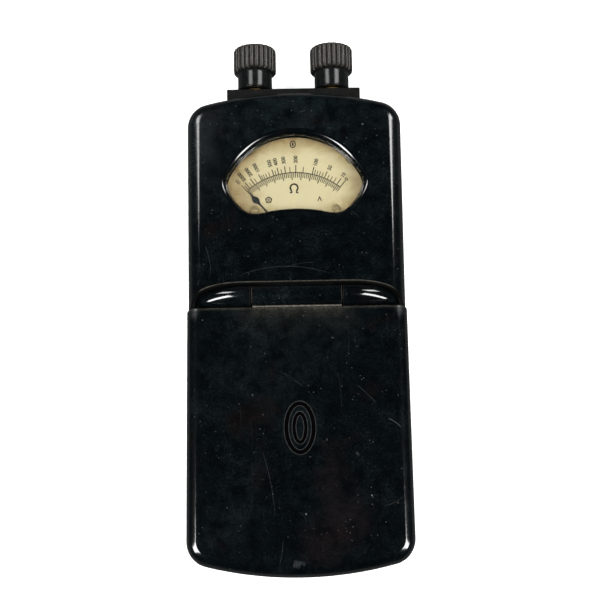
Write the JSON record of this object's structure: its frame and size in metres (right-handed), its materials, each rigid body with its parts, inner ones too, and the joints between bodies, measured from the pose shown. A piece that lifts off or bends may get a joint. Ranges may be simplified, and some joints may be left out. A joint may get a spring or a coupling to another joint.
{
  "type": "pocket ohmmeter",
  "caption": "Pocket moving-coil ohmmeter in a black moulded case: arched dial window above, hinged battery lid below, screw terminals on the top end.",
  "frame": {"origin": "centre of the overall bounding box in X and Y, on the plane the back rests on", "axes": "+Z out of the front face, +Y along the case towards the terminals, +X to the right seen from the front"},
  "size_m": [0.0706, 0.1776, 0.033],
  "materials": {
    "case_bakelite": "worn satin gloss, dusty haze",
    "lid_bakelite": "worn satin gloss, dusty haze",
    "back_bakelite": "satin, rubbed",
    "knob_bakelite": "satin, dusty flutes",
    "ebonite": "matte, faded",
    "window_glass": "clear, slightly dusty",
    "dial_paint": "aged cream, printed scale",
    "pointer_paint": "matte black",
    "brass": "tarnished",
    "steel": "dull",
    "magnet_steel": "dark, lacquered",
    "copper": "enamelled wire",
    "pertinax": "laminate, semi matte",
    "battery_card": "waxed card wrapper",
    "lead_red": "cotton covered",
    "lead_black": "cotton covered"
  },
  "bodies": {
    "case": {"back_cover": "back_bakelite", "battery": "battery_card", "battery_tongue_left": "brass", "battery_tongue_right": "brass", "case_body": "case_bakelite", "contact_block": "pertinax", "contact_spring_left": "brass", "contact_spring_right": "brass", "core_bracket": "brass", "cover_screw_lower_left": "steel", "cover_screw_lower_right": "steel", "cover_screw_upper_left": "steel", "cover_screw_upper_right": "steel", "dial_plate": "dial_paint", "dial_post_left": "brass", "dial_post_right": "brass", "dial_screw_left": "brass", "dial_screw_right": "brass", "glass_retainer": "brass", "hairspring_lower": "brass", "hairspring_upper": "brass", "hinge_pin": "steel", "jewel_screw_lower": "brass", "jewel_screw_upper": "brass", "lead_battery_left": "lead_black", "lead_battery_right": "lead_red", "lead_terminal_left": "lead_black", "lead_terminal_right": "lead_red", "lid_catch_spring": "steel", "lower_bridge": "brass", "lower_bridge_post_left": "brass", "lower_bridge_post_right": "brass", "magnet": "magnet_steel", "pole_shoe_left": "magnet_steel", "pole_shoe_right": "magnet_steel", "series_resistor": "pertinax", "shunt_resistor": "pertinax", "soft_iron_core": "magnet_steel", "strip_screw_left": "steel", "strip_screw_right": "steel", "terminal_nut_left": "brass", "terminal_nut_right": "brass", "terminal_strip": "ebonite", "terminal_stud_left": "brass", "terminal_stud_right": "brass", "upper_bridge": "brass", "upper_bridge_post_left": "brass", "upper_bridge_post_right": "brass", "window_glass": "window_glass"},
    "lid": {"battery_lid": "lid_bakelite"},
    "movement": {"pointer": "pointer_paint", "counterweight": "brass", "staff_upper": "steel", "staff_lower": "steel", "moving_coil": "copper"},
    "washer_left": {"clamp_washer_left": "brass"},
    "washer_right": {"clamp_washer_right": "brass"},
    "knob_left": {"terminal_knob_left": "knob_bakelite"},
    "knob_right": {"terminal_knob_right": "knob_bakelite"}
  },
  "joints": [
    {"name": "lid_hinge", "type": "hinge", "parent": "case", "child": "lid", "pos_m": [0, -0.0007, 0.0294], "axis": [-1, 0, 0], "range_deg": [0, 105]},
    {"name": "movement_swing", "type": "hinge", "parent": "case", "child": "movement", "pos_m": [0, 0.01765, 0.015], "axis": [0, 0, -1], "range_deg": [0, 83], "stiffness_Nm_per_rad": 0.00002},
    {"name": "washer_left_slide", "type": "slide", "parent": "case", "child": "washer_left", "axis": [0, 1, 0], "range_m": [0, 0.00325]},
    {"name": "knob_left_spin", "type": "hinge", "parent": "washer_left", "child": "knob_left", "pos_m": [-0.01315, 0.0815, 0.016], "axis": [0, 1, 0], "range_deg": [0, 1440]},
    {"name": "washer_right_slide", "type": "slide", "parent": "case", "child": "washer_right", "axis": [0, 1, 0], "range_m": [0, 0.00325]},
    {"name": "knob_right_spin", "type": "hinge", "parent": "washer_right", "child": "knob_right", "pos_m": [0.01315, 0.0815, 0.016], "axis": [0, 1, 0], "range_deg": [0, 1440]}
  ],
  "couplings": [
    {"joint": "washer_left_slide", "follows": "knob_left_spin", "m_per_rad": 0.00012732},
    {"joint": "washer_right_slide", "follows": "knob_right_spin", "m_per_rad": 0.00012732}
  ]
}
